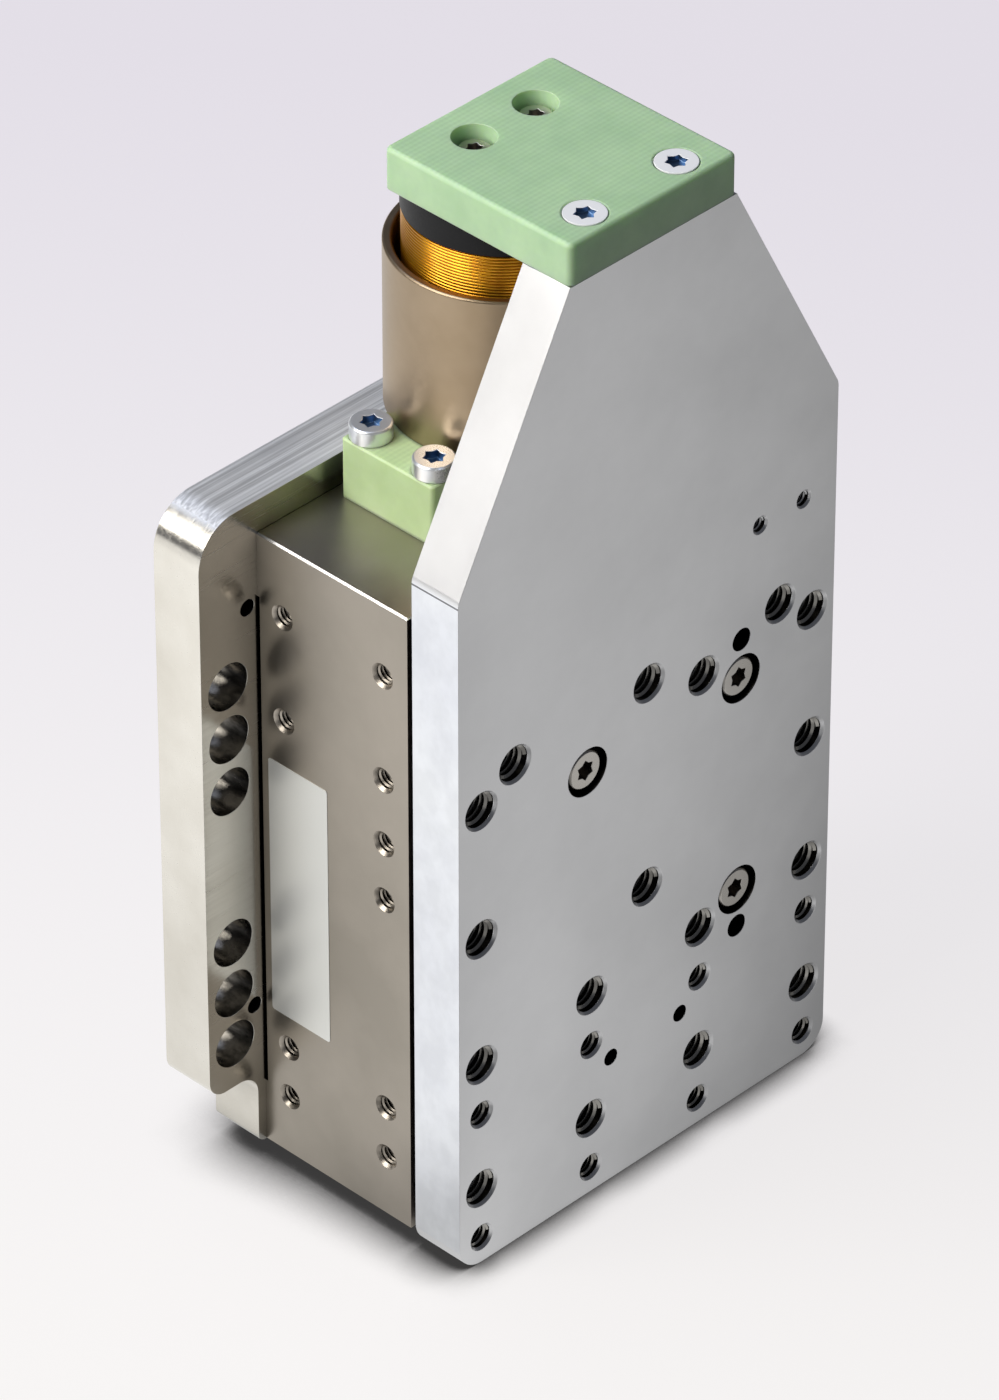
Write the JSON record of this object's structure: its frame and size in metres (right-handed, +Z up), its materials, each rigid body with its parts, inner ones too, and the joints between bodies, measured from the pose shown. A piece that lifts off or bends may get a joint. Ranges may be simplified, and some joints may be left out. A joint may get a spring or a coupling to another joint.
{
  "type": "flexure linear stage",
  "caption": "Vertical linear stage with a hole-patterned carriage plate on a folded blade flexure, lifted and lowered by a voice coil actuator above a wide base plate",
  "frame": {"origin": "On the mounting (back) face of the base plate, at the centre of its ear hole pattern", "axes": "X is the width, Y the depth with +Y out of the mounting face, Z up along the travel"},
  "size_m": [0.11, 0.054, 0.1855],
  "materials": {
    "carriage_aluminium": "fine machined satin",
    "base_aluminium": "bright machined",
    "flexure_steel": "warm satin",
    "green_laminate": "satin glass-cloth laminate",
    "nickel_plated_steel": "satin nickel",
    "black_coil_former": "satin",
    "enamelled_copper": "enamelled wire",
    "plated_magnet": "nickel plated",
    "zinc_plated_screw": "bright zinc",
    "stainless_screw": "stainless steel"
  },
  "bodies": {
    "base": {"base_plate": "base_aluminium", "flexure_frame": "flexure_steel", "magnet_bracket": "green_laminate", "magnet_housing": "nickel_plated_steel", "magnet": "plated_magnet", "pole_piece": "plated_magnet", "base_screw_1": "stainless_screw", "base_screw_2": "stainless_screw", "base_screw_3": "stainless_screw", "base_screw_4": "stainless_screw", "bracket_screw_1": "zinc_plated_screw", "bracket_screw_2": "zinc_plated_screw", "bracket_screw_3": "zinc_plated_screw", "bracket_screw_4": "zinc_plated_screw", "housing_screw_1": "stainless_screw", "housing_screw_2": "stainless_screw"},
    "floating_stage": {"stage_bar_left": "flexure_steel", "stage_bar_right": "flexure_steel", "blade_lower_inner_left": "flexure_steel", "blade_lower_inner_right": "flexure_steel", "blade_lower_outer_left": "flexure_steel", "blade_lower_outer_right": "flexure_steel", "blade_upper_inner_left": "flexure_steel", "blade_upper_inner_right": "flexure_steel", "blade_upper_outer_left": "flexure_steel", "blade_upper_outer_right": "flexure_steel"},
    "carriage": {"carriage_pin_1": "stainless_screw", "carriage_pin_2": "stainless_screw", "carriage_plate": "carriage_aluminium", "carriage_screw_1": "stainless_screw", "carriage_screw_2": "stainless_screw", "carriage_screw_3": "stainless_screw", "coil_former": "black_coil_former", "coil_screw_1": "stainless_screw", "coil_screw_2": "stainless_screw", "coil_top_plate": "green_laminate", "coil_winding": "enamelled_copper", "flexure_shuttle": "flexure_steel", "top_screw_1": "zinc_plated_screw", "top_screw_2": "zinc_plated_screw"}
  },
  "joints": [
    {"name": "stage_slide", "type": "slide", "parent": "base", "child": "floating_stage", "axis": [0, 0, 1], "range_m": [-0.00125, 0.00125], "stiffness_N_per_m": 12000, "springref_m": 0.00128, "deforming": ["blade_lower_outer_left", "blade_lower_outer_right", "blade_upper_outer_left", "blade_upper_outer_right"]},
    {"name": "carriage_slide", "type": "slide", "parent": "floating_stage", "child": "carriage", "axis": [0, 0, 1], "range_m": [-0.00125, 0.00125], "stiffness_N_per_m": 12000, "springref_m": 0.00108, "deforming": ["blade_lower_inner_left", "blade_lower_inner_right", "blade_upper_inner_left", "blade_upper_inner_right"]}
  ],
  "couplings": [
    {"joint": "stage_slide", "follows": "carriage_slide", "ratio": 1}
  ]
}
